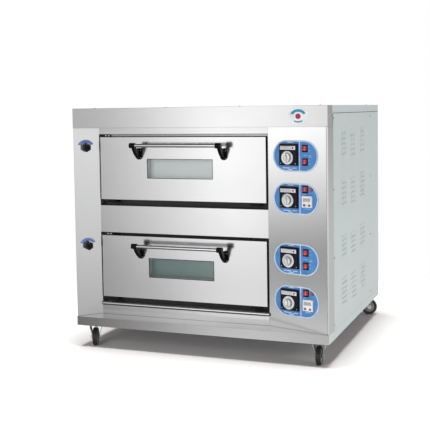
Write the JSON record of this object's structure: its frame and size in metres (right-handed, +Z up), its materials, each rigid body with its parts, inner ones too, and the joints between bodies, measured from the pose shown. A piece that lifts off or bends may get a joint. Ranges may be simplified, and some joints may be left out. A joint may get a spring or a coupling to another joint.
{
  "type": "bakery deck oven",
  "caption": "Free-standing two-deck electric bakery oven with pull-down glazed doors, slanted control column and louvred sides on swivel casters.",
  "frame": {"origin": "centre of the footprint on the floor, under the casters", "axes": "+Z up, +X to the right seen from the front, doors and controls face -Y"},
  "size_m": [1.258, 1.11, 1.15],
  "materials": {
    "steel": "satin",
    "side_paint": "satin",
    "enamel": "matte",
    "hearth": "matte",
    "element": "matte",
    "wool": "matte",
    "zinc": "satin",
    "plate_print": "satin",
    "black_plastic": "satin",
    "lamp": "gloss",
    "white_plastic": "satin",
    "red_plastic": "gloss",
    "electrics": "matte",
    "glass": "gloss",
    "chrome": "polished",
    "handle_plastic": "gloss",
    "wheel": "satin"
  },
  "bodies": {
    "cabinet": {"base_frame": "steel", "hood": "steel", "top_cover": "side_paint", "left_side_panel": "side_paint", "right_side_panel": "side_paint", "back_panel": "side_paint", "left_column": "steel", "control_column": "steel", "bay_header": "steel", "mid_panel": "steel", "sill_panel": "steel", "chamber_liners": "enamel", "hearth_stones": "hearth", "heating_elements": "element", "insulation": "wool", "vent_ducts": "zinc", "hinge_brackets": "zinc", "control_plates": "plate_print", "controllers": "black_plastic", "rocker_frames": "black_plastic", "pilot_lamps": "lamp", "timers": "white_plastic", "contactors": "electrics", "cable_gland": "black_plastic", "caster_plates": "zinc", "screws": "zinc"},
    "upper_door": {"upper_door_skin": "steel", "upper_door_liner": "zinc", "upper_door_glass": "glass", "upper_handle_bar": "chrome", "upper_handle_brackets": "handle_plastic"},
    "lower_door": {"lower_door_skin": "steel", "lower_door_liner": "zinc", "lower_door_glass": "glass", "lower_handle_bar": "chrome", "lower_handle_brackets": "handle_plastic"},
    "damper_knob_upper": {"damper_knob_upper": "black_plastic"},
    "damper_knob_lower": {"damper_knob_lower": "black_plastic"},
    "dial_1": {"dial_1": "white_plastic"},
    "dial_2": {"dial_2": "white_plastic"},
    "dial_3": {"dial_3": "white_plastic"},
    "dial_4": {"dial_4": "white_plastic"},
    "rocker_1": {"rocker_1": "red_plastic"},
    "rocker_2": {"rocker_2": "red_plastic"},
    "rocker_3": {"rocker_3": "red_plastic"},
    "rocker_4": {"rocker_4": "red_plastic"},
    "rocker_5": {"rocker_5": "red_plastic"},
    "rocker_6": {"rocker_6": "red_plastic"},
    "timer_button_1": {"timer_button_1": "black_plastic"},
    "timer_button_2": {"timer_button_2": "black_plastic"},
    "timer_button_3": {"timer_button_3": "black_plastic"},
    "timer_button_4": {"timer_button_4": "black_plastic"},
    "caster_fork_1": {"caster_fork_1": "zinc"},
    "caster_fork_2": {"caster_fork_2": "zinc"},
    "caster_fork_3": {"caster_fork_3": "zinc"},
    "caster_fork_4": {"caster_fork_4": "zinc"},
    "caster_wheel_1": {"caster_wheel_1": "wheel"},
    "caster_wheel_2": {"caster_wheel_2": "wheel"},
    "caster_wheel_3": {"caster_wheel_3": "wheel"},
    "caster_wheel_4": {"caster_wheel_4": "wheel"}
  },
  "joints": [
    {"name": "upper_door_hinge", "type": "hinge", "parent": "cabinet", "child": "upper_door", "pos_m": [-0.105, -0.458, 0.7015], "axis": [1, 0, 0], "range_deg": [0, 90]},
    {"name": "lower_door_hinge", "type": "hinge", "parent": "cabinet", "child": "lower_door", "pos_m": [-0.105, -0.458, 0.2265], "axis": [1, 0, 0], "range_deg": [0, 90]},
    {"name": "damper_turn_upper", "type": "hinge", "parent": "cabinet", "child": "damper_knob_upper", "pos_m": [-0.58252, -0.50952, 0.963], "axis": [-0.7071, 0.7071, 0], "range_deg": [0, 90]},
    {"name": "damper_turn_lower", "type": "hinge", "parent": "cabinet", "child": "damper_knob_lower", "pos_m": [-0.58252, -0.50952, 0.488], "axis": [-0.7071, 0.7071, 0], "range_deg": [0, 90]},
    {"name": "dial_turn_1", "type": "hinge", "parent": "cabinet", "child": "dial_1", "pos_m": [0.42877, -0.49108, 0.9196], "axis": [0.276, 0.9612, 0], "range_deg": [0, 300]},
    {"name": "dial_turn_2", "type": "hinge", "parent": "cabinet", "child": "dial_2", "pos_m": [0.42877, -0.49108, 0.7296], "axis": [0.276, 0.9612, 0], "range_deg": [0, 300]},
    {"name": "dial_turn_3", "type": "hinge", "parent": "cabinet", "child": "dial_3", "pos_m": [0.42877, -0.49108, 0.4586], "axis": [0.276, 0.9612, 0], "range_deg": [0, 300]},
    {"name": "dial_turn_4", "type": "hinge", "parent": "cabinet", "child": "dial_4", "pos_m": [0.42877, -0.49108, 0.2686], "axis": [0.276, 0.9612, 0], "range_deg": [0, 300]},
    {"name": "rocker_tilt_1", "type": "hinge", "parent": "cabinet", "child": "rocker_1", "pos_m": [0.51347, -0.51312, 0.961], "axis": [0.9612, -0.276, 0], "range_deg": [0, 14]},
    {"name": "rocker_tilt_2", "type": "hinge", "parent": "cabinet", "child": "rocker_2", "pos_m": [0.51347, -0.51312, 0.9015], "axis": [0.9612, -0.276, 0], "range_deg": [0, 14]},
    {"name": "rocker_tilt_3", "type": "hinge", "parent": "cabinet", "child": "rocker_3", "pos_m": [0.51347, -0.51312, 0.7805], "axis": [0.9612, -0.276, 0], "range_deg": [0, 14]},
    {"name": "rocker_tilt_4", "type": "hinge", "parent": "cabinet", "child": "rocker_4", "pos_m": [0.51347, -0.51312, 0.5], "axis": [0.9612, -0.276, 0], "range_deg": [0, 14]},
    {"name": "rocker_tilt_5", "type": "hinge", "parent": "cabinet", "child": "rocker_5", "pos_m": [0.51347, -0.51312, 0.4405], "axis": [0.9612, -0.276, 0], "range_deg": [0, 14]},
    {"name": "rocker_tilt_6", "type": "hinge", "parent": "cabinet", "child": "rocker_6", "pos_m": [0.51347, -0.51312, 0.3195], "axis": [0.9612, -0.276, 0], "range_deg": [0, 14]},
    {"name": "button_press_1", "type": "slide", "parent": "cabinet", "child": "timer_button_1", "axis": [0.276, 0.9612, 0], "range_m": [0, 0.001], "stiffness_N_per_m": 300, "springref_m": -0.0005},
    {"name": "button_press_2", "type": "slide", "parent": "cabinet", "child": "timer_button_2", "axis": [0.276, 0.9612, 0], "range_m": [0, 0.001], "stiffness_N_per_m": 300, "springref_m": -0.0005},
    {"name": "button_press_3", "type": "slide", "parent": "cabinet", "child": "timer_button_3", "axis": [0.276, 0.9612, 0], "range_m": [0, 0.001], "stiffness_N_per_m": 300, "springref_m": -0.0005},
    {"name": "button_press_4", "type": "slide", "parent": "cabinet", "child": "timer_button_4", "axis": [0.276, 0.9612, 0], "range_m": [0, 0.001], "stiffness_N_per_m": 300, "springref_m": -0.0005},
    {"name": "caster_swivel_1", "type": "hinge", "parent": "cabinet", "child": "caster_fork_1", "pos_m": [-0.563, -0.481, 0.085], "axis": [0, 0, 1], "continuous": true},
    {"name": "caster_roll_1", "type": "hinge", "parent": "caster_fork_1", "child": "caster_wheel_1", "pos_m": [-0.55251, -0.50696, 0.043], "axis": [0.9272, 0.3746, 0], "continuous": true},
    {"name": "caster_swivel_2", "type": "hinge", "parent": "cabinet", "child": "caster_fork_2", "pos_m": [0.565, -0.479, 0.085], "axis": [0, 0, 1], "continuous": true},
    {"name": "caster_roll_2", "type": "hinge", "parent": "caster_fork_2", "child": "caster_wheel_2", "pos_m": [0.56793, -0.50685, 0.043], "axis": [0.9945, 0.1045, 0], "continuous": true},
    {"name": "caster_swivel_3", "type": "hinge", "parent": "cabinet", "child": "caster_fork_3", "pos_m": [-0.563, 0.509, 0.085], "axis": [0, 0, 1], "continuous": true},
    {"name": "caster_roll_3", "type": "hinge", "parent": "caster_fork_3", "child": "caster_wheel_3", "pos_m": [-0.55718, 0.48161, 0.043], "axis": [0.9781, 0.2079, 0], "continuous": true},
    {"name": "caster_swivel_4", "type": "hinge", "parent": "cabinet", "child": "caster_fork_4", "pos_m": [0.553, 0.509, 0.085], "axis": [0, 0, 1], "continuous": true},
    {"name": "caster_roll_4", "type": "hinge", "parent": "caster_fork_4", "child": "caster_wheel_4", "pos_m": [0.57931, 0.51858, 0.043], "axis": [-0.342, 0.9397, 0], "continuous": true}
  ]
}
